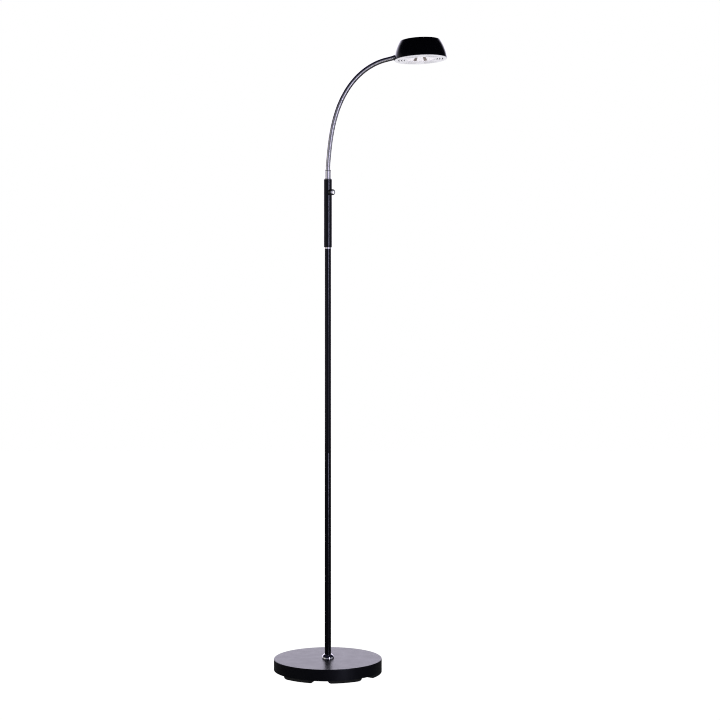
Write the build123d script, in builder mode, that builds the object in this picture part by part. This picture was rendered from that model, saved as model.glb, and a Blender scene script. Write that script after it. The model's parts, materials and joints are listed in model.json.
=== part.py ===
"""Adjustable arm floor lamp: round weighted base, two-piece pole, grip sleeve with a dimmer knob,
flexible ribbed neck and a small domed LED head.

Millimetres. Origin on the floor at the middle of the base, +Z up. The neck leans toward +X, and
the cable inlet is at +Y. The head has its own frame: its axis passes through the middle of its
rim, and heights in the head are measured from the rim.
"""

import os
from math import cos, radians, sin, tan

from build123d import *

# ---- driving dimensions -------------------------------------------------------------------

# base
BASE_RADIUS = 115.0
BASE_TOP = 29.0
SKIRT_EDGE = 5.5  # height of the cover's lower edge
COVER_WALL = 1.5
COVER_EDGE_ROUND = 1.4
PLATE_THICKNESS = 3.0
FOOT_COUNT = 6
FOOT_ANGLE = 37.8  # degrees of the rim that each foot takes
FOOT_PITCH = 53.0  # leaves one wider gap, at the rear
FOOT_START = -141.7
FOOT_INNER = 88.0
FOOT_RING = 94.0  # inside this the feet are one ring
FOOT_BEVEL = 3.0
PAD_THICKNESS = 1.2
PAD_INSET = 0.8
PAD_END_INSET = 2.5  # degrees
WEIGHT_RADIUS = 102.5
WEIGHT_TOP = 24.5
WEIGHT_BOSS_RADIUS = 30.0
WELL_RADIUS = 16.0  # room for the nipple's nut, under the weight
WELL_TOP = 20.5
SCREW_COUNT = 4
SCREW_CIRCLE = 82.0
SCREW_START = 45.0
SCREW_RADIUS = 2.0
SCREW_HEAD_RADIUS = 4.0
SCREW_LENGTH = 12.0

# driver, in a pocket of the weight behind the pole
DRIVER_Y = 60.0
DRIVER_WIDTH = 86.0
DRIVER_DEPTH = 34.0
DRIVER_TOP = 21.5
DRIVER_WALL = 1.5
POCKET_GAP = 1.5
BOARD_THICKNESS = 1.6
TRANSFORMER_SIZE = 18.0
CAPACITOR_RADIUS = 5.0
PARTS_HEIGHT = 6.0

# leads
LEAD_RADIUS = 1.6
LEAD_HEIGHT = 11.2  # in the base, above the floor
LEAD_BEND = 5.0
LEAD_CHANNEL = 10.0
WIRE_RADIUS = 0.8

# cable inlet in the rear of the cover
INLET_HEIGHT = 17.0
GROMMET_BORE = 3.5
GROMMET_BODY = 5.5
GROMMET_FLANGE = 7.5
GROMMET_LENGTH = 8.0
GROMMET_LIP = 1.4

# pole and its threaded fittings
POLE_RADIUS = 6.7
THREAD_RADIUS = 5.0
THREAD_BORE = 3.2
THREAD_GRIP = 20.0  # how far a threaded fitting reaches into each part it joins
SEAM_HEIGHT = 467.0
SEAM_BEVEL = 0.15
POLE_TOP = 901.9
COLLAR_RADIUS = 13.25
COLLAR_HEIGHT = 9.0
COLLAR_LIP = 1.0
RING_RADIUS = 7.25
RING_BEVEL = 0.4
NUT_CORNER = 9.2
NUT_THICKNESS = 5.0
WASHER_RADIUS = 13.0
WASHER_THICKNESS = 1.5

# grip sleeve
SLEEVE_BOTTOM = 905.9
SLEEVE_TOP = 1050.7
SLEEVE_RADIUS = 8.5
SLEEVE_BORE = 7.3
SLEEVE_EDGE_ROUND = 0.5
PLUG_LENGTH = 17.0
CAP_LENGTH = 10.0

# dimmer in the sleeve: its axis is level, between the front and +X, and distances along it
# are measured from the pole's axis
KNOB_HEIGHT = 1022.5
KNOB_AZIMUTH = -52.0  # degrees from +X toward +Y
KNOB_RADIUS = 6.3
KNOB_BACK = 9.2
KNOB_FRONT = 18.0
KNOB_CAP_FRONT = 19.0
KNOB_CAP_RADIUS = 5.6
KNOB_RECESS_RADIUS = 5.7
KNOB_RECESS = 2.6
KNOB_EDGE_ROUND = 0.5
SHAFT_RADIUS = 2.0
SHAFT_FIT = 0.05
SHAFT_TIP = 16.0
BUSH_RADIUS = 3.5
BUSH_TIP = 11.2
DIMMER_SIZE = 10.0
DIMMER_FACE = 4.0
DIMMER_NUT_CORNER = 5.2
DIMMER_NUT_THICKNESS = 2.0

# ferrule between the sleeve and the neck
FERRULE_TOP = 1071.0
FERRULE_RADIUS = 6.0
FERRULE_LIP = 6.3
FERRULE_STEP = 1.2
FERRULE_FLANGE = 8.2
FERRULE_FLANGE_THICKNESS = 1.8
FERRULE_SEAT = 1058.0  # where the neck's fixed end stands
SPIGOT_BOTTOM = 1033.0
FERRULE_NUT_THICKNESS = 4.0
FERRULE_NUT_CORNER = 7.2

# flexible neck: its centreline leans out of the ferrule and turns ever faster; the last link
# is straight
NECK_RADIUS = 5.0
NECK_BORE = 2.0
NECK_LENGTH = 301.9
NECK_LEAN = 4.5  # degrees that the first link turns
NECK_TURN = 71.1  # degrees from the ferrule to the last link
LINK_COUNT = 13
END_LINK_LENGTH = 17.0
BALL_RADIUS = 4.2
SOCKET_RADIUS = 4.4
SHANK_RADIUS = 3.0
SHOULDER_DROP = 4.2  # from a ball's centre down to its own link's shoulder
SOCKET_LIP = 1.5  # from a ball's centre down to the edge of the link above

# neck's fixing in the head
SPIGOT_RADIUS = 3.5
SPIGOT_LENGTH = 13.0
FLANGE_RADIUS = 5.8
FLANGE_THICKNESS = 1.0
HEAD_SOCKET_RADIUS = 6.2

# head
HEAD_CENTRE = (198.3, 0.0, 1307.3)  # middle of the shell's rim
HEAD_TILT = 2.6  # degrees, with the far side up
RIM_RADIUS = 56.3
DOME_HEIGHT = 41.6
DOME_TAPER = 13.9  # how much narrower the dome is at its corner
DOME_CROWN = 1.4
DOME_CORNER = 1.5
SHELL_WALL = 1.2
BEZEL_RADIUS = 56.0
BEZEL_DROP = 1.0  # how far the bezel stands below the rim
BEZEL_STEP_RADIUS = 55.0  # the part of it inside the shell
BEZEL_STEP = 0.8
BEZEL_EDGE_ROUND = 0.6
BEZEL_INNER = 31.0
BEZEL_LIP = 4.0
BEZEL_WALL = 1.2
VENT_RADII = (47.0, 41.0, 35.5)
VENT_SPANS = (36.0, 34.0, 31.0)  # degrees
VENT_GROUPS = 6
VENT_WIDTH = 2.2
HOOK_COUNT = 3
HOOK_RADIUS = 53.0
HOOK_SPAN = 12.0
HOOK_HEIGHT = 4.0
LENS_INSET = 0.3
REFLECTOR_MOUTH = 29.5
REFLECTOR_THROAT = 9.3
REFLECTOR_TOP = 18.2
REFLECTOR_WALL = 0.9
BOARD_RADIUS = 17.0
BOARD_BOTTOM = 19.4
BOARD_SCREW_CIRCLE = 14.2
EMITTER_RADIUS = 8.0
EMITTER_THICKNESS = 0.7
SINK_BOTTOM = 21.0
SINK_TOP = 25.0
SINK_RADIUS = 38.0
FIN_TOP = 34.0
FIN_COUNT = 8
FIN_PITCH = 8.6
FIN_WALL = 1.5
FIN_RADIUS = 36.0
BOSS_CIRCLE = 30.0
BOSS_COUNT = 3
BOSS_START = 60.0
BOSS_RADIUS = 3.0
SMALL_SCREW_RADIUS = 1.4
SMALL_SCREW_LENGTH = 8.0
SMALL_HEAD_RADIUS = 2.4
SMALL_HEAD_HEIGHT = 1.4

# ---- frames and the neck's centreline -----------------------------------------------------

knob_direction = Vector(cos(radians(KNOB_AZIMUTH)), sin(radians(KNOB_AZIMUTH)), 0)
knob_plane = Plane(origin=(0, 0, KNOB_HEIGHT), x_dir=(0, 0, 1), z_dir=knob_direction)
inlet_plane = Plane(origin=(0, 0, INLET_HEIGHT), x_dir=(1, 0, 0), z_dir=(0, 1, 0))

head_across = Vector(cos(radians(HEAD_TILT)), 0, sin(radians(HEAD_TILT)))
head_up = Vector(-sin(radians(HEAD_TILT)), 0, cos(radians(HEAD_TILT)))
head_level = Plane(origin=HEAD_CENTRE, x_dir=head_across, z_dir=head_up)
head_section = Plane(origin=HEAD_CENTRE, x_dir=head_across, z_dir=(0, -1, 0))
head_axis = Axis(HEAD_CENTRE, head_up)


def neck_heading(station):
    """Degrees from upright of the neck's centreline, a given length along it."""
    leaning = min(station / END_LINK_LENGTH, 1)
    turning = min(station / (NECK_LENGTH - END_LINK_LENGTH), 1)
    return NECK_LEAN * leaning + NECK_TURN * turning**2


def heading_vector(heading):
    return Vector(sin(radians(heading)), 0, cos(radians(heading)))


def arc_point(start, heading, length, turn):
    """The end of an arc that leaves start at a heading and turns evenly over its length."""
    half_turn = radians(turn) / 2
    chord = length * sin(half_turn) / half_turn if turn else length
    return start + heading_vector(heading + turn / 2) * chord


link_pitch = (NECK_LENGTH - 2 * END_LINK_LENGTH) / (LINK_COUNT - 2)
stations = [END_LINK_LENGTH + link_pitch * joint for joint in range(LINK_COUNT - 1)]
stations = [0.0, *stations, NECK_LENGTH]
headings = [neck_heading(station) for station in stations]
neck_points = [Vector(0, 0, FERRULE_TOP)]
for link in range(LINK_COUNT):
    length = stations[link + 1] - stations[link]
    turn = headings[link + 1] - headings[link]
    neck_points.append(arc_point(neck_points[link], headings[link], length, turn))

pieces = {}

# ---- shapes that repeat -------------------------------------------------------------------


def tube(bottom, top, outer, inner, bevel=0.0):
    """A round tube, upright on the pole's axis."""
    with BuildPart() as piece:
        with BuildSketch(Plane.XY.offset(bottom)):
            Circle(outer)
        extrude(amount=top - bottom)
        if bevel:
            chamfer(piece.edges().filter_by(GeomType.CIRCLE), bevel)
        with BuildSketch(Plane.XY.offset(bottom)):
            Circle(inner)
        extrude(amount=top - bottom, mode=Mode.SUBTRACT)
    return piece


def hex_nut(plane, corner_radius, bore, thickness):
    with BuildPart() as piece:
        with BuildSketch(plane):
            RegularPolygon(corner_radius, 6)
            Circle(bore, mode=Mode.SUBTRACT)
        extrude(amount=thickness)
    return piece


def radial_section(azimuth):
    """The upright plane through the pole's axis at an azimuth: local x outward, local y up."""
    outward = Vector(cos(radians(azimuth)), sin(radians(azimuth)), 0)
    return Plane(origin=(0, 0, 0), x_dir=outward, z_dir=outward.cross(Vector(0, 0, 1)))


def head_radial(azimuth):
    """The plane through the head's axis at an azimuth: local x outward, local y up the axis."""
    outward = head_across * cos(radians(azimuth)) + Vector(0, sin(radians(azimuth)), 0)
    return Plane(origin=HEAD_CENTRE, x_dir=outward, z_dir=outward.cross(head_up))


# ---- base ---------------------------------------------------------------------------------

with BuildPart() as base_cover:
    with BuildSketch(Plane.XY.offset(SKIRT_EDGE)):
        Circle(BASE_RADIUS)
    extrude(amount=BASE_TOP - SKIRT_EDGE)
    fillet(base_cover.faces().sort_by(Axis.Z)[-1].edges(), COVER_EDGE_ROUND)
    with BuildSketch(Plane.XY.offset(SKIRT_EDGE)):
        Circle(BASE_RADIUS - COVER_WALL)
    extrude(amount=BASE_TOP - COVER_WALL - SKIRT_EDGE, mode=Mode.SUBTRACT)
    with BuildSketch(Plane.XY.offset(SKIRT_EDGE)):
        Circle(THREAD_RADIUS)
    extrude(amount=BASE_TOP, mode=Mode.SUBTRACT)
    with BuildSketch(inlet_plane):
        Circle(GROMMET_BODY)
    extrude(amount=BASE_RADIUS + COVER_WALL, mode=Mode.SUBTRACT)
pieces["base_cover"] = base_cover

plate_top = SKIRT_EDGE + PLATE_THICKNESS
countersink = SCREW_HEAD_RADIUS - SCREW_RADIUS
with BuildPart() as base_plate:
    with BuildSketch(Plane.XY.offset(SKIRT_EDGE)):
        Circle(BASE_RADIUS - COVER_WALL)
    extrude(amount=PLATE_THICKNESS)
    for foot in range(FOOT_COUNT):
        with BuildSketch(radial_section(FOOT_START + foot * FOOT_PITCH)):
            with Locations(((FOOT_INNER + BASE_RADIUS) / 2, (PAD_THICKNESS + SKIRT_EDGE) / 2)):
                Rectangle(BASE_RADIUS - FOOT_INNER, SKIRT_EDGE - PAD_THICKNESS)
        revolve(axis=Axis.Z, revolution_arc=FOOT_ANGLE)
    chamfer(base_plate.edges().filter_by(GeomType.LINE).group_by(Axis.Z)[0], FOOT_BEVEL)
    with BuildSketch(Plane.XY.offset(PAD_THICKNESS)):
        Circle(FOOT_RING)
        Circle(FOOT_INNER, mode=Mode.SUBTRACT)
    extrude(amount=SKIRT_EDGE - PAD_THICKNESS)
    with BuildSketch(Plane.XY.offset(SKIRT_EDGE)):
        with PolarLocations(SCREW_CIRCLE, SCREW_COUNT, start_angle=SCREW_START):
            Circle(SCREW_RADIUS)
    extrude(amount=PLATE_THICKNESS, mode=Mode.SUBTRACT)
    with BuildSketch(Plane.XY.offset(SKIRT_EDGE)):
        with PolarLocations(SCREW_CIRCLE, SCREW_COUNT, start_angle=SCREW_START):
            Circle(SCREW_HEAD_RADIUS)
    extrude(amount=countersink, taper=45, mode=Mode.SUBTRACT)
pieces["base_plate"] = base_plate

pad_spread = BASE_RADIUS * tan(radians(FOOT_ANGLE / 2 - PAD_END_INSET))
with BuildPart() as foot_pad:
    with BuildSketch():
        with PolarLocations(0, FOOT_COUNT, FOOT_START + FOOT_ANGLE / 2, FOOT_COUNT * FOOT_PITCH):
            Polygon((0, 0), (BASE_RADIUS, -pad_spread), (BASE_RADIUS, pad_spread), align=None)
        Circle(BASE_RADIUS - PAD_INSET, mode=Mode.INTERSECT)
        Circle(FOOT_RING - PAD_INSET)
        Circle(FOOT_INNER + PAD_INSET, mode=Mode.SUBTRACT)
    extrude(amount=PAD_THICKNESS)
pieces["foot_pad"] = foot_pad

with BuildPart() as base_screws:
    with BuildSketch(Plane.XY.offset(SKIRT_EDGE)):
        with PolarLocations(SCREW_CIRCLE, SCREW_COUNT, start_angle=SCREW_START):
            Circle(SCREW_RADIUS)
    extrude(amount=SCREW_LENGTH)
    with BuildSketch(Plane.XY.offset(SKIRT_EDGE)):
        with PolarLocations(SCREW_CIRCLE, SCREW_COUNT, start_angle=SCREW_START):
            Circle(SCREW_HEAD_RADIUS)
    extrude(amount=countersink, taper=45)
    with BuildSketch(Plane.XY.offset(SKIRT_EDGE)):
        with PolarLocations(SCREW_CIRCLE, SCREW_COUNT, start_angle=SCREW_START):
            RegularPolygon(SCREW_RADIUS * 0.7, 6)
    extrude(amount=SCREW_RADIUS, mode=Mode.SUBTRACT)
pieces["base_screws"] = base_screws

with BuildPart() as base_weight:
    with BuildSketch(Plane.XY.offset(plate_top)):
        Circle(WEIGHT_RADIUS)
    extrude(amount=WEIGHT_TOP - plate_top)
    with BuildSketch(Plane.XY.offset(WEIGHT_TOP)):
        Circle(WEIGHT_BOSS_RADIUS)
    extrude(amount=BASE_TOP - COVER_WALL - WEIGHT_TOP)
    with BuildSketch(Plane.XY.offset(plate_top)):
        Circle(WELL_RADIUS)
        with Locations((0, WEIGHT_RADIUS / 2)):
            Rectangle(LEAD_CHANNEL, WEIGHT_RADIUS + LEAD_CHANNEL)
    extrude(amount=WELL_TOP - plate_top, mode=Mode.SUBTRACT)
    with BuildSketch(Plane.XY.offset(plate_top)):
        with Locations((0, DRIVER_Y)):
            RectangleRounded(DRIVER_WIDTH + 2 * POCKET_GAP, DRIVER_DEPTH + 2 * POCKET_GAP, 3 * POCKET_GAP)
    extrude(amount=DRIVER_TOP + POCKET_GAP / 3 - plate_top, mode=Mode.SUBTRACT)
    with BuildSketch(Plane.XY.offset(plate_top)):
        Circle(THREAD_RADIUS)
    extrude(amount=BASE_TOP, mode=Mode.SUBTRACT)
    with BuildSketch(Plane.XY.offset(plate_top)):
        with PolarLocations(SCREW_CIRCLE, SCREW_COUNT, start_angle=SCREW_START):
            Circle(SCREW_RADIUS)
    extrude(amount=SKIRT_EDGE + SCREW_LENGTH - plate_top, mode=Mode.SUBTRACT)
pieces["base_weight"] = base_weight

grommet_back = BASE_RADIUS + GROMMET_LIP - GROMMET_LENGTH
with BuildPart() as cable_grommet:
    with BuildSketch(inlet_plane.offset(BASE_RADIUS)):
        Circle(GROMMET_FLANGE)
    extrude(amount=GROMMET_LIP)
    fillet(cable_grommet.faces().sort_by(Axis.Y)[-1].edges(), GROMMET_LIP / 2)
    with BuildSketch(inlet_plane.offset(grommet_back)):
        Circle(GROMMET_BODY)
    extrude(amount=GROMMET_LENGTH - GROMMET_LIP)
    with BuildSketch(inlet_plane.offset(grommet_back)):
        Circle(GROMMET_FLANGE)
    extrude(amount=GROMMET_LENGTH - GROMMET_LIP - 2 * COVER_WALL)
    with BuildSketch(inlet_plane.offset(grommet_back)):
        Circle(GROMMET_BORE)
    extrude(amount=GROMMET_LENGTH, mode=Mode.SUBTRACT)
pieces["cable_grommet"] = cable_grommet

# ---- driver in the base -------------------------------------------------------------------

lid_bottom = DRIVER_TOP - DRIVER_WALL
with BuildPart() as driver_case:
    with BuildSketch(Plane.XY.offset(plate_top)):
        with Locations((0, DRIVER_Y)):
            RectangleRounded(DRIVER_WIDTH, DRIVER_DEPTH, 2 * DRIVER_WALL)
    extrude(amount=lid_bottom - plate_top)
    with BuildSketch(Plane.XY.offset(plate_top + DRIVER_WALL)):
        with Locations((0, DRIVER_Y)):
            RectangleRounded(DRIVER_WIDTH - 2 * DRIVER_WALL, DRIVER_DEPTH - 2 * DRIVER_WALL, DRIVER_WALL)
    extrude(amount=DRIVER_TOP, mode=Mode.SUBTRACT)
pieces["driver_case"] = driver_case

with BuildPart() as driver_lid:
    with BuildSketch(Plane.XY.offset(lid_bottom)):
        with Locations((0, DRIVER_Y)):
            RectangleRounded(DRIVER_WIDTH, DRIVER_DEPTH, 2 * DRIVER_WALL)
    extrude(amount=DRIVER_WALL)
pieces["driver_lid"] = driver_lid

board_level = plate_top + DRIVER_WALL
with BuildPart() as driver_board:
    with BuildSketch(Plane.XY.offset(board_level)):
        with Locations((0, DRIVER_Y)):
            Rectangle(DRIVER_WIDTH - 3 * DRIVER_WALL, DRIVER_DEPTH - 3 * DRIVER_WALL)
    extrude(amount=BOARD_THICKNESS)
    with BuildSketch(Plane.XY.offset(board_level + BOARD_THICKNESS)):
        with Locations((0, DRIVER_Y)):
            Rectangle(TRANSFORMER_SIZE, TRANSFORMER_SIZE)
        with GridLocations(2 * TRANSFORMER_SIZE + CAPACITOR_RADIUS, 0, 2, 1):
            with Locations((0, DRIVER_Y)):
                Circle(CAPACITOR_RADIUS)
    extrude(amount=PARTS_HEIGHT)
pieces["driver_board"] = driver_board

# ---- nipple, collar and pole --------------------------------------------------------------

washer_bottom = WELL_TOP - WASHER_THICKNESS
nut_bottom = washer_bottom - NUT_THICKNESS
pieces["nipple_washer"] = tube(washer_bottom, WELL_TOP, WASHER_RADIUS, THREAD_RADIUS)
pieces["nipple_nut"] = hex_nut(Plane.XY.offset(nut_bottom), NUT_CORNER, THREAD_RADIUS, NUT_THICKNESS)
pieces["pole_nipple"] = tube(nut_bottom, BASE_TOP + THREAD_GRIP, THREAD_RADIUS, THREAD_BORE)

collar_top = BASE_TOP + COLLAR_HEIGHT
with BuildPart() as base_collar:
    with BuildSketch(Plane.XZ):
        with BuildLine():
            rim = Line((COLLAR_RADIUS, BASE_TOP), (COLLAR_RADIUS, BASE_TOP + COLLAR_LIP))
            dome = TangentArc(rim @ 1, (POLE_RADIUS + COLLAR_LIP, collar_top), tangent=(-0.12, 1))
            Polyline(dome @ 1, (POLE_RADIUS, collar_top), (POLE_RADIUS, BASE_TOP), rim @ 0)
        make_face()
    revolve(axis=Axis.Z)
pieces["base_collar"] = base_collar

pieces["lower_tube"] = tube(BASE_TOP, SEAM_HEIGHT, POLE_RADIUS, THREAD_RADIUS, SEAM_BEVEL)
pieces["upper_tube"] = tube(SEAM_HEIGHT, POLE_TOP, POLE_RADIUS, THREAD_RADIUS, SEAM_BEVEL)
pieces["tube_coupler"] = tube(
    SEAM_HEIGHT - THREAD_GRIP, SEAM_HEIGHT + THREAD_GRIP, THREAD_RADIUS, THREAD_BORE
)
pieces["pole_ring"] = tube(POLE_TOP, SLEEVE_BOTTOM, RING_RADIUS, THREAD_RADIUS, RING_BEVEL)
pieces["sleeve_stud"] = tube(
    POLE_TOP - THREAD_GRIP, SLEEVE_BOTTOM + PLUG_LENGTH, THREAD_RADIUS, THREAD_BORE
)

# the lead leaves the driver level, turns up under the nipple and ends at the dimmer
with BuildPart() as pole_lead:
    with BuildLine() as lead_path:
        FilletPolyline(
            (0, DRIVER_Y - DRIVER_DEPTH / 2, LEAD_HEIGHT),
            (0, 0, LEAD_HEIGHT),
            (0, 0, KNOB_HEIGHT - DIMMER_SIZE / 2),
            radius=LEAD_BEND,
        )
    with BuildSketch(Plane(origin=lead_path.line @ 0, z_dir=lead_path.line % 0)):
        Circle(LEAD_RADIUS)
    sweep()
pieces["pole_lead"] = pole_lead

# ---- grip sleeve and dimmer ---------------------------------------------------------------

pieces["sleeve_base"] = tube(SLEEVE_BOTTOM, SLEEVE_BOTTOM + PLUG_LENGTH, SLEEVE_BORE, THREAD_RADIUS)
pieces["sleeve_cap"] = tube(SLEEVE_TOP - CAP_LENGTH, SLEEVE_TOP, SLEEVE_BORE, THREAD_RADIUS)

with BuildPart() as handle_sleeve:
    with BuildSketch(Plane.XY.offset(SLEEVE_BOTTOM)):
        Circle(SLEEVE_RADIUS)
    extrude(amount=SLEEVE_TOP - SLEEVE_BOTTOM)
    fillet(handle_sleeve.edges().filter_by(GeomType.CIRCLE), SLEEVE_EDGE_ROUND)
    with BuildSketch(Plane.XY.offset(SLEEVE_BOTTOM)):
        Circle(SLEEVE_BORE)
    extrude(amount=SLEEVE_TOP - SLEEVE_BOTTOM, mode=Mode.SUBTRACT)
    with BuildSketch(knob_plane):
        Circle(BUSH_RADIUS)
    extrude(amount=SLEEVE_RADIUS + SHELL_WALL, mode=Mode.SUBTRACT)
pieces["handle_sleeve"] = handle_sleeve

with BuildPart() as dimmer_body:
    with BuildSketch(knob_plane.offset(-DIMMER_FACE)):
        Rectangle(DIMMER_SIZE, DIMMER_SIZE)
    extrude(amount=2 * DIMMER_FACE)
    with BuildSketch(knob_plane.offset(DIMMER_FACE)):
        Circle(BUSH_RADIUS)
    extrude(amount=BUSH_TIP - DIMMER_FACE)
    with BuildSketch(knob_plane):
        Circle(SHAFT_RADIUS + SHAFT_FIT)
    extrude(amount=BUSH_TIP, mode=Mode.SUBTRACT)
pieces["dimmer_body"] = dimmer_body

pieces["dimmer_nut"] = hex_nut(
    knob_plane.offset(SLEEVE_RADIUS), DIMMER_NUT_CORNER, BUSH_RADIUS, DIMMER_NUT_THICKNESS
)

with BuildPart() as dimmer_shaft:
    with BuildSketch(knob_plane.offset(SHAFT_FIT)):
        Circle(SHAFT_RADIUS)
    extrude(amount=SHAFT_TIP - SHAFT_FIT)
pieces["dimmer_shaft"] = dimmer_shaft

with BuildPart() as dimmer_knob:
    with BuildSketch(knob_plane.offset(KNOB_BACK)):
        Circle(KNOB_RADIUS)
    extrude(amount=KNOB_FRONT - KNOB_BACK)
    fillet(dimmer_knob.edges().filter_by(GeomType.CIRCLE), KNOB_EDGE_ROUND)
    with BuildSketch(knob_plane.offset(KNOB_BACK)):
        Circle(KNOB_RECESS_RADIUS)
    extrude(amount=KNOB_RECESS, mode=Mode.SUBTRACT)
    with BuildSketch(knob_plane):
        Circle(SHAFT_RADIUS)
    extrude(amount=SHAFT_TIP, mode=Mode.SUBTRACT)
pieces["dimmer_knob"] = dimmer_knob

with BuildPart() as knob_cap:
    with BuildSketch(knob_plane.offset(KNOB_FRONT)):
        Circle(KNOB_CAP_RADIUS)
    extrude(amount=KNOB_CAP_FRONT - KNOB_FRONT)
    cap_face = knob_cap.faces().sort_by(Axis((0, 0, 0), knob_direction))[-1]
    fillet(cap_face.edges(), (KNOB_CAP_FRONT - KNOB_FRONT) / 2)
pieces["knob_cap"] = knob_cap

# ---- ferrule ------------------------------------------------------------------------------

ferrule_shoulder = SLEEVE_TOP + FERRULE_FLANGE_THICKNESS
with BuildPart() as neck_ferrule:
    with BuildSketch(Plane.XZ):
        with BuildLine():
            Polyline(
                (NECK_BORE, SPIGOT_BOTTOM),
                (THREAD_RADIUS, SPIGOT_BOTTOM),
                (THREAD_RADIUS, SLEEVE_TOP),
                (FERRULE_FLANGE, SLEEVE_TOP),
                (FERRULE_FLANGE, ferrule_shoulder - FERRULE_STEP / 2),
                (FERRULE_FLANGE - FERRULE_STEP / 2, ferrule_shoulder),
                (FERRULE_RADIUS, ferrule_shoulder),
                (FERRULE_RADIUS, FERRULE_TOP - 2 * FERRULE_STEP),
                (FERRULE_LIP, FERRULE_TOP - FERRULE_STEP),
                (FERRULE_LIP, FERRULE_TOP),
                (NECK_RADIUS, FERRULE_TOP),
                (NECK_RADIUS, FERRULE_SEAT),
                (NECK_BORE, FERRULE_SEAT),
                close=True,
            )
        make_face()
    revolve(axis=Axis.Z)
pieces["neck_ferrule"] = neck_ferrule

pieces["ferrule_nut"] = hex_nut(
    Plane.XY.offset(SLEEVE_TOP - CAP_LENGTH - FERRULE_NUT_THICKNESS),
    FERRULE_NUT_CORNER,
    THREAD_RADIUS,
    FERRULE_NUT_THICKNESS,
)

with BuildPart() as dimmer_lead:
    with BuildSketch(Plane.XY.offset(KNOB_HEIGHT + DIMMER_SIZE / 2)):
        Circle(LEAD_RADIUS)
    extrude(amount=FERRULE_SEAT - KNOB_HEIGHT - DIMMER_SIZE / 2)
pieces["dimmer_lead"] = dimmer_lead

# ---- flexible neck ------------------------------------------------------------------------


def round_sweep(path, radius, mode=Mode.ADD):
    """A round bar, or a round hole, along a path."""
    with BuildSketch(Plane(origin=path.line @ 0, z_dir=path.line % 0)) as section:
        Circle(radius)
    sweep(section.sketch, path=path.line, mode=mode)


def link_path(link, before, end, after=0.0):
    """Along a link's arc from its lower end, straight on before it and after its end."""
    length = stations[link + 1] - stations[link]
    turn = (headings[link + 1] - headings[link]) * end / length
    start = neck_points[link]
    along = heading_vector(headings[link])
    finish = arc_point(start, headings[link], end, turn)
    with BuildLine() as path:
        if before:
            Line(start - along * before, start)
        if turn:
            TangentArc(start, finish, tangent=along)
        else:
            Line(start, finish)
        if after:
            Line(finish, finish + heading_vector(headings[link] + turn) * after)
    return path


# each link has a socket round the ball of the link below and its own ball in the link above
for link in range(LINK_COUNT):
    length = stations[link + 1] - stations[link]
    is_first, is_last = link == 0, link == LINK_COUNT - 1
    lower_reach = FERRULE_TOP - FERRULE_SEAT if is_first else SOCKET_LIP
    body = link_path(link, lower_reach, length if is_last else length - SHOULDER_DROP)
    shank = link_path(link, lower_reach, length, SPIGOT_LENGTH if is_last else 0.0)
    bore = link_path(link, lower_reach + SOCKET_LIP, length, SPIGOT_LENGTH)
    with BuildPart() as neck_link:
        round_sweep(body, NECK_RADIUS)
        round_sweep(shank, SPIGOT_RADIUS if is_last else SHANK_RADIUS)
        if not is_last:
            with Locations(neck_points[link + 1]):
                Sphere(BALL_RADIUS)
        if not is_first:
            with Locations(neck_points[link]):
                Sphere(SOCKET_RADIUS, mode=Mode.SUBTRACT)
        round_sweep(bore, NECK_BORE, Mode.SUBTRACT)
    pieces[f"neck_link_{link + 1:02d}"] = neck_link

neck_end = Plane(origin=neck_points[-1], z_dir=heading_vector(headings[-1]))

# ---- head ---------------------------------------------------------------------------------


def dome_outline(inset):
    """The filled half-section of the head, inset by a wall's thickness."""
    rim = RIM_RADIUS - inset
    top = DOME_HEIGHT - inset
    corner = (rim - DOME_TAPER, top - DOME_CROWN)
    with BuildSketch(head_section) as outline:
        with BuildLine():
            ThreePointArc((rim, 0), (rim - DOME_TAPER * 0.31, top * 0.48), corner)
            TangentArc((0, top), corner, tangent=(1, 0))
            Polyline((0, top), (0, 0), (rim, 0))
        make_face()
        fillet(outline.vertices().sort_by(Axis.X)[-2], DOME_CORNER)
    return outline.sketch


with BuildPart() as head_cavity:
    revolve(dome_outline(SHELL_WALL), axis=head_axis)

with BuildPart() as head_shell:
    revolve(dome_outline(0.0), axis=head_axis)
    add(head_cavity.part, mode=Mode.SUBTRACT)
    with BuildSketch(head_level.offset(SINK_TOP)):
        with PolarLocations(BOSS_CIRCLE, BOSS_COUNT, start_angle=BOSS_START):
            Circle(BOSS_RADIUS)
            Circle(SMALL_SCREW_RADIUS, mode=Mode.SUBTRACT)
    extrude(amount=DOME_HEIGHT - SINK_TOP - SHELL_WALL)
    with BuildSketch(neck_end.offset(-FLANGE_THICKNESS)):
        Circle(SPIGOT_RADIUS)
    extrude(amount=SPIGOT_LENGTH, mode=Mode.SUBTRACT)
pieces["head_shell"] = head_shell

# a thin ring closes the gap between the neck's end and the curved shell
with BuildPart() as neck_flange:
    with BuildSketch(neck_end.offset(-FLANGE_THICKNESS)):
        Circle(FLANGE_RADIUS)
        Circle(NECK_RADIUS, mode=Mode.SUBTRACT)
    extrude(amount=FLANGE_THICKNESS)
    with BuildSketch(neck_end):
        Circle(FLANGE_RADIUS)
        Circle(SPIGOT_RADIUS, mode=Mode.SUBTRACT)
    extrude(amount=SPIGOT_LENGTH / 2)
    revolve(dome_outline(0.0), axis=head_axis, mode=Mode.SUBTRACT)
    with BuildSketch(head_level):
        Circle(RIM_RADIUS)
    extrude(amount=-FLANGE_RADIUS, mode=Mode.SUBTRACT)
pieces["neck_flange"] = neck_flange

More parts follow.
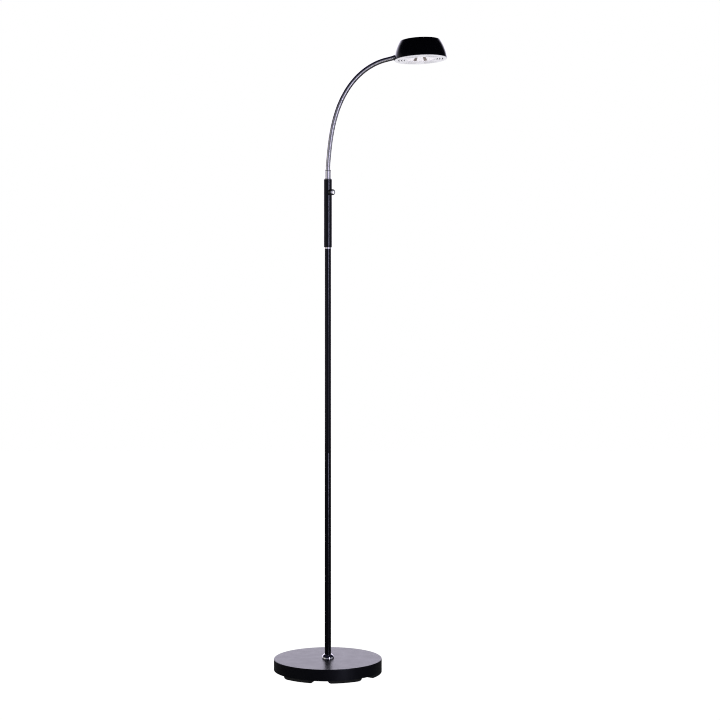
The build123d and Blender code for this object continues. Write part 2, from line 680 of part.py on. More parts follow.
with BuildPart() as neck_socket:
    with BuildSketch(neck_end):
        Circle(HEAD_SOCKET_RADIUS)
    extrude(amount=SPIGOT_LENGTH)
    add(head_cavity.part, mode=Mode.INTERSECT)
    with BuildSketch(head_level):
        Circle(RIM_RADIUS)
    extrude(amount=BEZEL_STEP, mode=Mode.SUBTRACT)
    with BuildSketch(neck_end):
        Circle(SPIGOT_RADIUS)
    extrude(amount=SPIGOT_LENGTH, mode=Mode.SUBTRACT)
pieces["neck_socket"] = neck_socket

with BuildPart() as heat_sink:
    with BuildSketch(head_level.offset(SINK_BOTTOM)):
        Circle(SINK_RADIUS)
    extrude(amount=SINK_TOP - SINK_BOTTOM)
    with BuildSketch(head_level.offset(SINK_TOP)):
        with GridLocations(0, FIN_PITCH, 1, FIN_COUNT):
            Rectangle(2 * FIN_RADIUS, FIN_WALL)
        Circle(FIN_RADIUS, mode=Mode.INTERSECT)
        with PolarLocations(BOSS_CIRCLE, BOSS_COUNT, start_angle=BOSS_START):
            Circle(2 * BOSS_RADIUS, mode=Mode.SUBTRACT)
    extrude(amount=FIN_TOP - SINK_TOP)
    with BuildSketch(head_level.offset(SINK_BOTTOM)):
        with PolarLocations(BOSS_CIRCLE, BOSS_COUNT, start_angle=BOSS_START):
            Circle(SMALL_SCREW_RADIUS)
        with PolarLocations(BOARD_SCREW_CIRCLE, 2):
            Circle(SMALL_SCREW_RADIUS)
    extrude(amount=SINK_TOP - SINK_BOTTOM, mode=Mode.SUBTRACT)
pieces["heat_sink"] = heat_sink


def small_screws(seat, circle, count, start, length):
    """Pan-head screws that go up from a seat in the head."""
    with BuildPart() as screws:
        with BuildSketch(head_level.offset(seat)):
            with PolarLocations(circle, count, start_angle=start):
                Circle(SMALL_SCREW_RADIUS)
        extrude(amount=length)
        with BuildSketch(head_level.offset(seat)):
            with PolarLocations(circle, count, start_angle=start):
                Circle(SMALL_HEAD_RADIUS)
        extrude(amount=-SMALL_HEAD_HEIGHT)
    return screws


pieces["sink_screws"] = small_screws(
    SINK_BOTTOM, BOSS_CIRCLE, BOSS_COUNT, BOSS_START, SMALL_SCREW_LENGTH
)
pieces["board_screws"] = small_screws(
    BOARD_BOTTOM, BOARD_SCREW_CIRCLE, 2, 0, SINK_TOP - BOARD_BOTTOM
)

with BuildPart() as led_board:
    with BuildSketch(head_level.offset(BOARD_BOTTOM)):
        Circle(BOARD_RADIUS)
        with PolarLocations(BOARD_SCREW_CIRCLE, 2):
            Circle(SMALL_SCREW_RADIUS, mode=Mode.SUBTRACT)
    extrude(amount=SINK_BOTTOM - BOARD_BOTTOM)
pieces["led_board"] = led_board

with BuildPart() as led_emitter:
    with BuildSketch(head_level.offset(BOARD_BOTTOM)):
        Circle(EMITTER_RADIUS)
    extrude(amount=-EMITTER_THICKNESS)
pieces["led_emitter"] = led_emitter

with BuildPart() as reflector:
    with BuildSketch(head_section):
        with BuildLine():
            Polyline(
                (REFLECTOR_MOUTH, BEZEL_STEP),
                (REFLECTOR_THROAT, REFLECTOR_TOP),
                (REFLECTOR_THROAT + REFLECTOR_WALL, REFLECTOR_TOP),
                (REFLECTOR_MOUTH, BEZEL_STEP + 2 * REFLECTOR_WALL),
                (BEZEL_INNER, BEZEL_STEP + 2 * REFLECTOR_WALL),
                (BEZEL_INNER, BEZEL_STEP),
                close=True,
            )
        make_face()
    revolve(axis=head_axis)
pieces["reflector"] = reflector

with BuildPart() as lens:
    with BuildSketch(head_level.offset(LENS_INSET - BEZEL_DROP)):
        Circle(BEZEL_INNER)
    extrude(amount=BEZEL_STEP + BEZEL_DROP - LENS_INSET)
pieces["lens"] = lens

vent_arcs = [
    CenterArc((0, 0), vent_radius, group * 360 / VENT_GROUPS - span / 2, span)
    for vent_radius, span in zip(VENT_RADII, VENT_SPANS)
    for group in range(VENT_GROUPS)
]
with BuildPart() as bezel_ring:
    with BuildSketch(head_level.offset(-BEZEL_DROP)):
        Circle(BEZEL_RADIUS)
    extrude(amount=BEZEL_DROP)
    bottom_edge = bezel_ring.edges().sort_by(head_axis)[0]
    fillet(bottom_edge, BEZEL_EDGE_ROUND)
    with BuildSketch(head_level):
        Circle(BEZEL_STEP_RADIUS)
    extrude(amount=BEZEL_STEP)
    with BuildSketch(head_level.offset(BEZEL_STEP)):
        Circle(BEZEL_INNER + BEZEL_WALL)
    extrude(amount=BEZEL_LIP)
    with BuildSketch(head_level.offset(-BEZEL_DROP)):
        Circle(BEZEL_INNER)
        for vent_arc in vent_arcs:
            SlotArc(vent_arc, VENT_WIDTH)
    extrude(amount=BEZEL_DROP + BEZEL_STEP + BEZEL_LIP, mode=Mode.SUBTRACT)
    for hook in range(HOOK_COUNT):
        with BuildSketch(head_radial(hook * 360 / HOOK_COUNT - HOOK_SPAN / 2)):
            with Locations((HOOK_RADIUS, BEZEL_STEP + HOOK_HEIGHT / 2)):
                Rectangle(BEZEL_WALL, HOOK_HEIGHT)
        revolve(axis=head_axis, revolution_arc=HOOK_SPAN)
pieces["bezel_ring"] = bezel_ring

wire_start = neck_points[-1] + heading_vector(headings[-1]) * SPIGOT_LENGTH
wire_bend = head_level.from_local_coords((-BOARD_RADIUS - LEAD_CHANNEL, 0, SINK_BOTTOM - LEAD_CHANNEL))
wire_end = head_level.from_local_coords((-BOARD_RADIUS - WIRE_RADIUS, 0, BOARD_BOTTOM + WIRE_RADIUS))
with BuildPart() as head_lead:
    for side in (-1.5, 1.5):
        shift = Vector(0, side, 0)
        with BuildLine() as wire_path:
            FilletPolyline(wire_start + shift, wire_bend + shift, wire_end + shift, radius=LEAD_BEND)
        round_sweep(wire_path, WIRE_RADIUS)
pieces["head_lead"] = head_lead

# ---- write the pieces ---------------------------------------------------------------------

os.makedirs("parts", exist_ok=True)
for name, piece in pieces.items():
    piece.part.label = name
    export_step(piece.part, f"parts/{name}.step")
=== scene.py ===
"""Looks of an adjustable arm floor lamp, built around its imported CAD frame."""

import json
from math import cos, pi, radians, sin, sqrt

import bpy
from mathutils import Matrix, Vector


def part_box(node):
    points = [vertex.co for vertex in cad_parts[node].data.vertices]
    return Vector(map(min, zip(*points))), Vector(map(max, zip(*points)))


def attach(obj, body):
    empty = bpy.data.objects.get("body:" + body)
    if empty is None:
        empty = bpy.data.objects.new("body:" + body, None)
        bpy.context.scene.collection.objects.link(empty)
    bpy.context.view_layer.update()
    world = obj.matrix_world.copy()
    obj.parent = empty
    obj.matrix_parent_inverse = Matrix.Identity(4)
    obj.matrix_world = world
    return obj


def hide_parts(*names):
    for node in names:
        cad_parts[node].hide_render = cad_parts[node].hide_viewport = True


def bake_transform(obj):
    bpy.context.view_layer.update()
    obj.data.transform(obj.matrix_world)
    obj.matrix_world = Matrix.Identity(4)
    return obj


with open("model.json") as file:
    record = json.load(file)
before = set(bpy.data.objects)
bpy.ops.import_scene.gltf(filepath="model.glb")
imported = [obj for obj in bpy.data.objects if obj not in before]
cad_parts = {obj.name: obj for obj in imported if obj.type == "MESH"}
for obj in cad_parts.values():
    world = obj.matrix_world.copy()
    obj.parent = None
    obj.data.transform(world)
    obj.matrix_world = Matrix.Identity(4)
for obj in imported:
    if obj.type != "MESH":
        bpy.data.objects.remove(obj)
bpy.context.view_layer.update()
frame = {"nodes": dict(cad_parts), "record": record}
nodes = frame["nodes"]

MM = 0.001

# ---- camera -------------------------------------------------------------------------------

CAMERA_PLACE = (0.0686, -3.282, 0.724)
CAMERA_LENS = 76.85
CAMERA_SHIFT = -0.0382  # the photograph's horizon lies above its middle

camera = bpy.data.objects.new("camera", bpy.data.cameras.new("camera"))
bpy.context.scene.collection.objects.link(camera)
camera.location = CAMERA_PLACE
camera.rotation_euler = (radians(90), 0, 0)
camera.data.lens = CAMERA_LENS
camera.data.sensor_width = 36
camera.data.shift_y = CAMERA_SHIFT
camera.data.clip_end = 100
bpy.context.scene.camera = camera
bpy.context.scene.view_settings.view_transform = "Standard"
bpy.context.scene.cycles.filter_width = 1.0

# ---- light --------------------------------------------------------------------------------

# soft areas of the studio: azimuth in degrees from the front toward +X, elevation,
# half-angles where the area is full and where it ends, strength and colour
SOFT_AREAS = (
    (183, 12, 14, 45, 1.75, (0.97, 0.92, 1.09)),  # bright backdrop
    (-135, 6, 5, 24, 0.7, (0.84, 0.80, 1.0)),  # strip behind, on the left
)
# the belt of the studio at eye level: azimuth and half-width of each soft card in it
BELT_CARDS = (
    (-60, 28, 0.75, (1.0, 0.96, 0.92)),
    (-15, 28, 0.36, (0.78, 0.82, 1.0)),
    (22, 26, 0.30, (1.0, 0.88, 1.0)),
    (75, 40, 0.45, (0.88, 0.90, 1.0)),
    (-110, 32, 0.45, (1.0, 0.97, 0.92)),
)
BELT_FULL = 0.20  # sines of the elevations where the belt is full and where it ends
BELT_END = 0.42
STUDIO_DARK = (0.010, 0.010, 0.018)
FLOOR_SIZE = 12.0
FLOOR_LIGHT = 1.05  # seen directly, and by matt surfaces
FLOOR_MIRRORED = 0.06  # by glossy ones

NECK_COILS = tuple(f"neck_coil_{i:02d}" for i in range(1, 15))
PAINTED = ("lower_tube", "upper_tube", "handle_sleeve", "base_cover")
# strip lights: where each stands, what it faces, width, height, power, colour, and the nodes or
# pieces it is kept to; the first one is for everything
STRIPS = (
    ((1.45, -2.35, 1.15), (0, 0, 0.9), 0.55, 2.0, 8.0, (0.80, 0.78, 1.0), ()),
    ((1.45, -2.35, 1.22), (0, 0, 0.98), 0.50, 0.60, 26.0, (0.84, 0.84, 1.0), PAINTED),
    ((1.45, -2.35, 0.34), (0, 0, 0.3), 0.50, 0.66, 20.0, (0.84, 0.84, 1.0), ("lower_tube",)),
    ((0.84, -1.25, 0.14), (0, 0, 0.02), 0.50, 0.20, 4.0, (0.84, 0.86, 1.0), ("base_cover",)),
    ((2.6, -0.65, 1.1), (0, 0, 1.02), 0.75, 0.75, 2.6, (1.0, 0.97, 0.93), ("knob_button",)),
    ((0.30, -1.2, 0.45), (0.1, 0, 1.28), 0.7, 0.25, 0.7, (1.0, 0.98, 0.93), NECK_COILS),
)


def direction(azimuth, elevation):
    a, e = radians(azimuth), radians(elevation)
    return Vector((sin(a) * cos(e), -cos(a) * cos(e), sin(e)))


def fade_between(tree, source, start, end, strength):
    """Rises smoothly from 0 where the source is at start to a strength where it is at end."""
    fade = tree.nodes.new("ShaderNodeMapRange")
    fade.interpolation_type = "SMOOTHSTEP"
    fade.inputs["From Min"].default_value = start
    fade.inputs["From Max"].default_value = end
    fade.inputs["To Max"].default_value = strength
    tree.links.new(source, fade.inputs["Value"])
    return fade.outputs["Result"]


def make_world():
    world = bpy.data.worlds.new("studio")
    bpy.context.scene.world = world
    world.use_nodes = True
    tree = world.node_tree
    tree.nodes.clear()
    place = tree.nodes.new("ShaderNodeTexCoord")
    height = tree.nodes.new("ShaderNodeSeparateXYZ")
    tree.links.new(place.outputs["Generated"], height.inputs["Vector"])
    steep = tree.nodes.new("ShaderNodeMath")
    steep.operation = "ABSOLUTE"
    tree.links.new(height.outputs["Z"], steep.inputs[0])
    belt = fade_between(tree, steep.outputs["Value"], BELT_END, BELT_FULL, 1.0)
    areas = [(*area, None) for area in SOFT_AREAS]
    for azimuth, reach, strength, tint in BELT_CARDS:
        areas.append((azimuth, 0, 0, reach, strength, tint, belt))
    total = None
    for azimuth, elevation, full, end, strength, colour, within in areas:
        dot = tree.nodes.new("ShaderNodeVectorMath")
        dot.operation = "DOT_PRODUCT"
        dot.inputs[1].default_value = direction(azimuth, elevation)
        tree.links.new(place.outputs["Generated"], dot.inputs[0])
        level = fade_between(tree, dot.outputs["Value"], cos(radians(end)), cos(radians(full)), strength)
        if within:
            both = tree.nodes.new("ShaderNodeMath")
            both.operation = "MULTIPLY"
            tree.links.new(level, both.inputs[0])
            tree.links.new(within, both.inputs[1])
            level = both.outputs["Value"]
        tint = tree.nodes.new("ShaderNodeVectorMath")
        tint.operation = "SCALE"
        tint.inputs[0].default_value = colour
        tree.links.new(level, tint.inputs["Scale"])
        add = tree.nodes.new("ShaderNodeVectorMath")
        add.operation = "ADD"
        tree.links.new(tint.outputs["Vector"], add.inputs[0])
        if total is None:
            add.inputs[1].default_value = STUDIO_DARK
        else:
            tree.links.new(total, add.inputs[1])
        total = add.outputs["Vector"]
    studio = tree.nodes.new("ShaderNodeBackground")
    tree.links.new(total, studio.inputs["Color"])
    white = tree.nodes.new("ShaderNodeBackground")
    white.inputs["Color"].default_value = (1, 1, 1, 1)
    rays = tree.nodes.new("ShaderNodeLightPath")
    mix = tree.nodes.new("ShaderNodeMixShader")
    tree.links.new(rays.outputs["Is Camera Ray"], mix.inputs["Fac"])
    tree.links.new(studio.outputs["Background"], mix.inputs[1])
    tree.links.new(white.outputs["Background"], mix.inputs[2])
    output = tree.nodes.new("ShaderNodeOutputWorld")
    tree.links.new(mix.outputs["Shader"], output.inputs["Surface"])


def make_floor():
    mesh = bpy.data.meshes.new("floor")
    half = FLOOR_SIZE / 2
    corners = [(-half, -half, 0), (half, -half, 0), (half, half, 0), (-half, half, 0)]
    mesh.from_pydata(corners, [], [(0, 1, 2, 3)])
    floor = bpy.data.objects.new("floor", mesh)
    bpy.context.scene.collection.objects.link(floor)
    material = bpy.data.materials.new("white_floor")
    material.use_nodes = True
    tree = material.node_tree
    tree.nodes.clear()
    rays = tree.nodes.new("ShaderNodeLightPath")
    level = tree.nodes.new("ShaderNodeMapRange")
    level.inputs["To Min"].default_value = FLOOR_LIGHT
    level.inputs["To Max"].default_value = FLOOR_MIRRORED
    tree.links.new(rays.outputs["Is Glossy Ray"], level.inputs["Value"])
    glow = tree.nodes.new("ShaderNodeEmission")
    glow.inputs["Color"].default_value = (1, 1, 1, 1)
    tree.links.new(level.outputs["Result"], glow.inputs["Strength"])
    output = tree.nodes.new("ShaderNodeOutputMaterial")
    tree.links.new(glow.outputs["Emission"], output.inputs["Surface"])
    material.cycles.emission_sampling = "NONE"
    mesh.materials.append(material)


def make_strips():
    for place, target, width, height, power, colour, kept_to in STRIPS:
        receivers = [nodes[name] if name in nodes else bpy.data.objects[name] for name in kept_to]
        lamp = bpy.data.lights.new("strip", "AREA")
        lamp.shape = "RECTANGLE"
        lamp.size, lamp.size_y = width, height
        lamp.energy = power
        lamp.color = colour
        strip = bpy.data.objects.new("strip", lamp)
        bpy.context.scene.collection.objects.link(strip)
        strip.location = place
        strip.rotation_euler = (Vector(target) - Vector(place)).to_track_quat("-Z", "Y").to_euler()
        strip.visible_camera = False
        if receivers:
            lit = bpy.data.collections.new("lit_by_strip")
            for receiver in receivers:
                lit.objects.link(receiver)
            strip.light_linking.receiver_collection = lit


make_world()
make_floor()

# ---- materials ----------------------------------------------------------------------------


def surface(name, colour, roughness, metallic=0.0, **sockets):
    """A material with one Principled shader; values that are even all over are set on it."""
    material = bpy.data.materials.new(name)
    material.use_nodes = True
    shader = material.node_tree.nodes["Principled BSDF"]
    shader.inputs["Base Color"].default_value = (*colour, 1)
    shader.inputs["Roughness"].default_value = roughness
    shader.inputs["Metallic"].default_value = metallic
    for socket, value in sockets.items():
        shader.inputs[socket.replace("_", " ")].default_value = value
    return material


def noise(material, scale, detail=3.0, stretch=(1, 1, 1)):
    """A noise in the piece's own coordinates; scale is in features per metre."""
    tree = material.node_tree
    place = tree.nodes.new("ShaderNodeTexCoord")
    turn = tree.nodes.new("ShaderNodeMapping")
    turn.inputs["Scale"].default_value = stretch
    texture = tree.nodes.new("ShaderNodeTexNoise")
    texture.inputs["Scale"].default_value = scale
    texture.inputs["Detail"].default_value = detail
    tree.links.new(place.outputs["Object"], turn.inputs["Vector"])
    tree.links.new(turn.outputs["Vector"], texture.inputs["Vector"])
    return texture.outputs["Fac"]


def vary(material, source, socket, low, high, start=0.35, end=0.65):
    """The source spreads a shader socket from low to high; both are numbers or colours."""
    tree = material.node_tree
    target = tree.nodes["Principled BSDF"].inputs[socket]
    if isinstance(low, tuple):
        ramp = tree.nodes.new("ShaderNodeValToRGB")
        ramp.color_ramp.elements[0].position = start
        ramp.color_ramp.elements[0].color = (*low, 1)
        ramp.color_ramp.elements[1].position = end
        ramp.color_ramp.elements[1].color = (*high, 1)
        tree.links.new(source, ramp.inputs["Fac"])
        tree.links.new(ramp.outputs["Color"], target)
        return
    spread = tree.nodes.new("ShaderNodeMapRange")
    spread.inputs["From Min"].default_value = start
    spread.inputs["From Max"].default_value = end
    spread.inputs["To Min"].default_value = low
    spread.inputs["To Max"].default_value = high
    tree.links.new(source, spread.inputs["Value"])
    tree.links.new(spread.outputs["Result"], target)


def bump(material, source, depth, strength=1.0):
    """Small relief; depth is in metres."""
    tree = material.node_tree
    relief = tree.nodes.new("ShaderNodeBump")
    relief.inputs["Strength"].default_value = strength
    relief.inputs["Distance"].default_value = depth
    tree.links.new(source, relief.inputs["Height"])
    tree.links.new(relief.outputs["Normal"], tree.nodes["Principled BSDF"].inputs["Normal"])


def black_paint(name, roughness):
    material = surface(
        name, (0.0015, 0.0015, 0.0025), roughness, IOR=1.34, Specular_Tint=(0.82, 0.82, 1.0, 1)
    )
    vary(material, noise(material, 40, 2), "Roughness", roughness - 0.015, roughness + 0.015)
    vary(material, noise(material, 700), "Base Color", (0.001, 0.001, 0.002), (0.002, 0.002, 0.003))
    return material


def plastic(name, low, high, roughness, depth=0.00001, **sockets):
    material = surface(name, low, roughness, **sockets)
    grain = noise(material, 2200)
    vary(material, noise(material, 90, 4), "Roughness", roughness - 0.04, roughness + 0.04)
    vary(material, grain, "Base Color", low, high)
    bump(material, grain, depth, 0.4)
    return material


def metal(name, low, high, roughness, spread, scale=120, stretch=(1, 1, 1), depth=0.0):
    material = surface(name, low, roughness, 1.0)
    streaks = noise(material, scale, 4, stretch)
    vary(material, streaks, "Roughness", roughness - spread, roughness + spread)
    vary(material, noise(material, 70, 2), "Base Color", low, high)
    if depth:
        bump(material, streaks, depth, 0.5)
    return material


materials = {
    "black_paint": black_paint("black_paint", 0.18),
    "black_plastic": plastic("black_plastic", (0.006, 0.006, 0.007), (0.011, 0.011, 0.012), 0.36),
    "rubber": plastic("rubber", (0.010, 0.010, 0.010), (0.022, 0.022, 0.022), 0.7, 0.00003),
    "lead_sheath": plastic("lead_sheath", (0.012, 0.012, 0.012), (0.02, 0.02, 0.02), 0.45),
    "cast_iron": plastic("cast_iron", (0.05, 0.05, 0.05), (0.1, 0.095, 0.09), 0.75, 0.0002),
    "steel": metal("steel", (0.56, 0.56, 0.58), (0.64, 0.64, 0.66), 0.28, 0.08),
    "chrome": metal("chrome", (0.74, 0.73, 0.78), (0.82, 0.81, 0.86), 0.09, 0.03),
    "brass": metal("brass", (0.68, 0.50, 0.22), (0.76, 0.58, 0.30), 0.25, 0.06),
    "aluminium": metal(
        "aluminium", (0.72, 0.72, 0.74), (0.8, 0.8, 0.82), 0.35, 0.08, 300, (1, 1, 8), 0.00002
    ),
    "circuit_board": plastic("circuit_board", (0.02, 0.16, 0.05), (0.03, 0.2, 0.07), 0.3),
    "led_board": plastic("led_board", (0.82, 0.82, 0.80), (0.88, 0.88, 0.86), 0.35),
    "led_phosphor": plastic(
        "led_phosphor", (0.95, 0.75, 0.22), (0.98, 0.84, 0.34), 0.25,
        Emission_Color=(1.0, 0.86, 0.50, 1), Emission_Strength=0.55,
    ),
    # painted light: the reflector glows faintly white, standing in for light falling into the cup,
    # though it is no lamp
    "reflector": plastic(
        "reflector", (0.70, 0.68, 0.70), (0.75, 0.73, 0.76), 0.25,
        Specular_IOR_Level=0.0, Emission_Color=(1.0, 0.98, 1.0, 1), Emission_Strength=0.22,
    ),
    "clear_plastic": plastic(
        "clear_plastic", (0.84, 0.82, 0.90), (0.88, 0.86, 0.94), 0.12,
        Alpha=0.08, Specular_IOR_Level=0.05,
    ),
    "white_plastic": plastic(
        "white_plastic", (0.74, 0.73, 0.77), (0.79, 0.78, 0.82), 0.30, 0.000006,
        Specular_IOR_Level=0.0,
    ),
}


def paint(piece, material):
    if piece.material_slots:
        for place in piece.material_slots:
            place.material = material
    else:
        piece.data.materials.append(material)


for part in frame["record"]["subparts"]:
    paint(nodes[part["node"]], materials[part["material_slot"]])
paint(nodes["base_cover"], black_paint("black_base_paint", 0.30))
paint(nodes["neck_ferrule"], metal("satin_chrome", (0.76, 0.75, 0.79), (0.82, 0.81, 0.85), 0.18, 0.04))

# ---- pieces -------------------------------------------------------------------------------


def piece_from(name, vertices, faces, slot, smooth=True):
    mesh = bpy.data.meshes.new(name)
    mesh.from_pydata(vertices, [], faces)
    mesh.polygons.foreach_set("use_smooth", [smooth] * len(mesh.polygons))
    mesh.update()
    piece = bpy.data.objects.new(name, mesh)
    bpy.context.scene.collection.objects.link(piece)
    paint(piece, materials[slot])
    return piece


# ---- wound skin of the neck ---------------------------------------------------------------

NECK_LENGTH = 301.9 * MM
NECK_LEAN = radians(4.5)
NECK_TURN = radians(71.1)
NECK_RADIUS = 5 * MM
NECK_BORE = 2.4 * MM
LINKS = 13
END_LINK = 17 * MM
WIRE_PITCH = 2.0 * MM
GROOVE = 0.07 * MM
WIRE_STEPS = (-1.0, -0.82, -0.45, 0.0, 0.45, 0.82)  # across one wire, from groove to groove
AROUND = 28
NECK_START = -5  # whole turns of the wire inside the ferrule
STEP = 0.25 * MM  # of the sums that lay out the centreline

ferrule_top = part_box("neck_ferrule")[1].z


def heading(station):
    leaning = min(max(station, 0.0) / END_LINK, 1)
    turning = min(max(station, 0.0) / (NECK_LENGTH - END_LINK), 1)
    return NECK_LEAN * leaning + NECK_TURN * turning**2


def lay_centreline():
    """Points every STEP along the neck, from NECK_START turns below its visible start."""
    first = NECK_START * WIRE_PITCH - STEP
    count = int((NECK_LENGTH - first) / STEP) + 20
    point = Vector((0, 0, ferrule_top + first))
    points = [point.copy()]
    for i in range(count):
        middle = heading(first + (i + 0.5) * STEP)
        point += Vector((sin(middle), 0, cos(middle))) * STEP
        points.append(point.copy())
    return first, points


centre_first, centre_points = lay_centreline()


def centre(station):
    place = (station - centre_first) / STEP
    low = min(max(int(place), 0), len(centre_points) - 2)
    return centre_points[low].lerp(centre_points[low + 1], place - low)


def ring_point(station, angle, radius):
    turn = heading(station)
    outward = Vector((cos(turn), 0, -sin(turn))) * cos(angle) + Vector((0, 1, 0)) * sin(angle)
    return centre(station) + outward * radius


def lay_wire(vertices, profile, first_turn, last_turn):
    """Rows of points that follow the wire, with a profile of (share of a turn, radius) along each turn.
    A row's last point is the next turn's first one. Gives the grid of their indices."""
    turns = [(turn, share, radius) for turn in range(first_turn, last_turn) for share, radius in profile]
    turns.append((last_turn, *profile[0]))
    grid = []
    for turn, share, radius in turns:
        row = []
        for column in range(AROUND):
            row.append(len(vertices))
            station = (turn + share + column / AROUND) * WIRE_PITCH
            vertices.append(ring_point(station, 2 * pi * column / AROUND, radius))
        grid.append(row)
    for i, row in enumerate(grid):
        if i + len(profile) < len(grid):
            row.append(grid[i + len(profile)][0])
        else:
            turn, share, radius = turns[i]
            row.append(len(vertices))
            vertices.append(ring_point((turn + share + 1) * WIRE_PITCH, 0, radius))
    return grid


def neck_solid(first_turn, last_turn):
    """A closed length of the wound tube. It ends along the wire, where the next one begins."""
    wire = [((x + 1) / 2, NECK_RADIUS - GROOVE * (1 - sqrt(1 - x * x))) for x in WIRE_STEPS]
    vertices, faces = [], []
    outer = lay_wire(vertices, wire, first_turn, last_turn)
    inner = lay_wire(vertices, [(0.0, NECK_BORE)], first_turn, last_turn)
    for low, high in zip(outer, outer[1:]):
        faces += [(low[i], low[i + 1], high[i + 1], high[i]) for i in range(AROUND)]
    for low, high in zip(inner, inner[1:]):
        faces += [(low[i + 1], low[i], high[i], high[i + 1]) for i in range(AROUND)]
    for out, bore in ((outer[-1], inner[-1]), (outer[0][::-1], inner[0][::-1])):
        faces += [(out[i], out[i + 1], bore[i + 1], bore[i]) for i in range(AROUND)]
    wires = len(wire)
    faces.append([row[-1] for row in outer[: -wires - 2 : -1]] + [inner[-2][-1], inner[-1][-1]])
    faces.append([row[0] for row in outer[: wires + 1]] + [inner[1][0], inner[0][0]])
    return vertices, faces


def make_neck():
    wound_chrome = metal("wound_chrome", (0.76, 0.75, 0.79), (0.82, 0.81, 0.85), 0.20, 0.04)
    pitch = (NECK_LENGTH - 2 * END_LINK) / (LINKS - 2)
    stations = [0.0] + [END_LINK + pitch * i for i in range(LINKS - 1)] + [NECK_LENGTH]
    middles = [(stations[i] + stations[i + 1]) / 2 for i in range(LINKS)]
    cuts = [NECK_START] + [round(m / WIRE_PITCH) for m in middles] + [round(NECK_LENGTH / WIRE_PITCH)]
    for i in range(LINKS + 1):
        piece = piece_from(f"neck_coil_{i + 1:02d}", *neck_solid(cuts[i], cuts[i + 1]), "chrome")
        paint(piece, wound_chrome)
        if i == 0:
            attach(piece, "stand")
            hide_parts("neck_link_01")
        elif i == LINKS:
            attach(piece, "head")
            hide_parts("neck_link_13")
        else:
            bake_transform(piece)
            if i > 1:
                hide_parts(f"neck_link_{i:02d}")


make_neck()

# ---- head and knob ------------------------------------------------------------------------

TURN_STEPS = 120  # round a whole turn
HEAD_CENTRE = (198.3, 0, 1307.3)
HEAD_TILT = radians(2.6)
KNOB_HEIGHT = 1022.5
KNOB_AZIMUTH = radians(-52)
KNOB_FLUTES = 24
CUP_MOUTH = 29.5  # radius of the reflector cup where its wall starts
CUP_FOOT = 0.8
CUP_THROAT = 9.3
CUP_TOP = 18.2
CUP_WALL = 0.9
CUP_RIM = 31.0
# dark bars laid on the reflector cup's wall as painted reflections
PAINTED_BAR_SPAN = 15  # degrees
PAINTED_BAR_MIDDLES = (-24, 24, 156, 204)  # degrees from the rear

head_up = Vector((-sin(HEAD_TILT), 0, cos(HEAD_TILT)))
head_back = Vector((0, 1, 0))
knob_out = Vector((cos(KNOB_AZIMUTH), sin(KNOB_AZIMUTH), 0))


def turned(name, profile, place, axis, across, slot, start=0.0, sweep=2 * pi, ripple=None):
    """A closed outline of (radius, distance along the axis) in mm, turned about the axis from across.
    A part of a turn gets flat ends."""
    other = axis.cross(across)
    whole = sweep == 2 * pi
    steps = max(3, round(TURN_STEPS * sweep / (2 * pi)))
    columns = steps if whole else steps + 1
    vertices, rings = [], []
    for row, (radius, along) in enumerate(profile):
        count = columns if radius else 1
        ring = []
        for column in range(count):
            angle = start + sweep * column / steps
            reach = radius + (ripple(row, angle) if ripple else 0)
            ring.append(len(vertices))
            outward = across * cos(angle) + other * sin(angle)
            vertices.append(place + (outward * reach + axis * along) * MM)
        rings.append(ring if radius else ring * columns)
    faces = []
    for low, high in zip(rings, rings[1:] + rings[:1]):
        for i in range(steps):
            j = (i + 1) % columns
            corners = list(dict.fromkeys((low[i], low[j], high[j], high[i])))
            if len(corners) > 2:
                faces.append(corners)
    if not whole:
        faces += [[ring[0] for ring in rings], [ring[-1] for ring in reversed(rings)]]
    return piece_from(name, vertices, faces, slot)


def crease(piece, angle=35):
    piece.data.set_sharp_from_angle(angle=radians(angle))


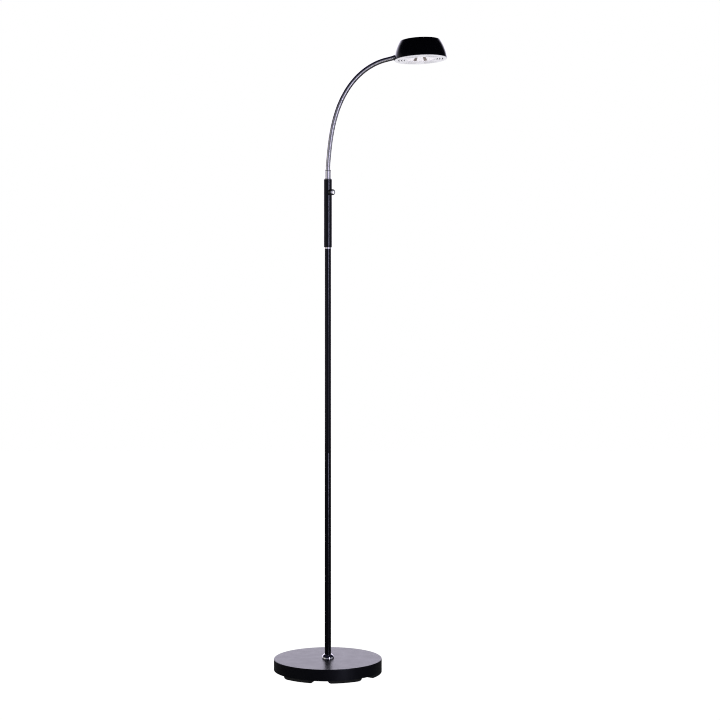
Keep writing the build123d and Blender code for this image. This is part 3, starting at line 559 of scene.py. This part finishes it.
def make_knob():
    """A fluted grip with a domed chrome button."""
    place = Vector((0, 0, KNOB_HEIGHT * MM))
    outline = [
        (5.7, 9.2), (6.1, 9.2), (6.3, 9.5), (6.3, 17.3), (6.1, 17.8), (5.8, 18.0),
        (0, 18.0), (0, 16.05), (2.05, 16.05), (2.05, 11.8), (5.7, 11.8),
    ]

    def ripple(row, angle):
        return -0.12 * (1 + cos(KNOB_FLUTES * angle)) if row in (2, 3) else 0

    grip = turned(
        "knob_grip", outline, place, knob_out, Vector((0, 0, 1)), "black_plastic", ripple=ripple
    )
    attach(grip, "dimmer")
    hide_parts("dimmer_knob")
    outline = [
        (0, 18.0), (5.6, 18.0), (5.6, 18.15), (5.4, 18.35),
        (4.9, 18.5), (3.6, 18.75), (1.9, 18.94), (0, 19.0),
    ]
    button = turned("knob_button", outline, place, knob_out, Vector((0, 0, 1)), "chrome")
    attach(button, "dimmer")
    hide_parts("knob_cap")
    crease(grip)
    crease(button)


def make_cup():
    """The satin reflector cup, with a pair of dark bars on its front and on its rear wall: painted
    reflections in the cup.
    """
    place = Vector(HEAD_CENTRE) * MM
    shoulder = CUP_FOOT + 2 * CUP_WALL
    outline = [
        (CUP_THROAT, CUP_TOP), (CUP_MOUTH, CUP_FOOT), (CUP_RIM, CUP_FOOT),
        (CUP_RIM, shoulder), (CUP_MOUTH, shoulder), (CUP_THROAT + CUP_WALL, CUP_TOP),
    ]
    cup = turned("reflector_cup", outline, place, head_up, head_back, "reflector")
    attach(cup, "head")
    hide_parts("reflector")
    crease(cup)
    # painted reflection: dark brown bars on the cup's wall stand for the dark reflections seen in it
    painted_reflection = plastic("brown_reflection_paint", (0.085, 0.055, 0.030), (0.11, 0.072, 0.042), 0.5, Specular_IOR_Level=0.0)
    outline = [(28.26, 1.20), (28.69, 1.69), (10.16, 17.66), (9.73, 17.17)]
    for bar_number, middle in enumerate(PAINTED_BAR_MIDDLES):
        bar = turned(
            f"reflector_painted_bar_{bar_number + 1}", outline, place, head_up, head_back, "reflector",
            start=radians(middle - PAINTED_BAR_SPAN / 2), sweep=radians(PAINTED_BAR_SPAN),
        )
        paint(bar, painted_reflection)
        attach(bar, "head")
        crease(bar)


make_knob()
make_cup()
make_strips()
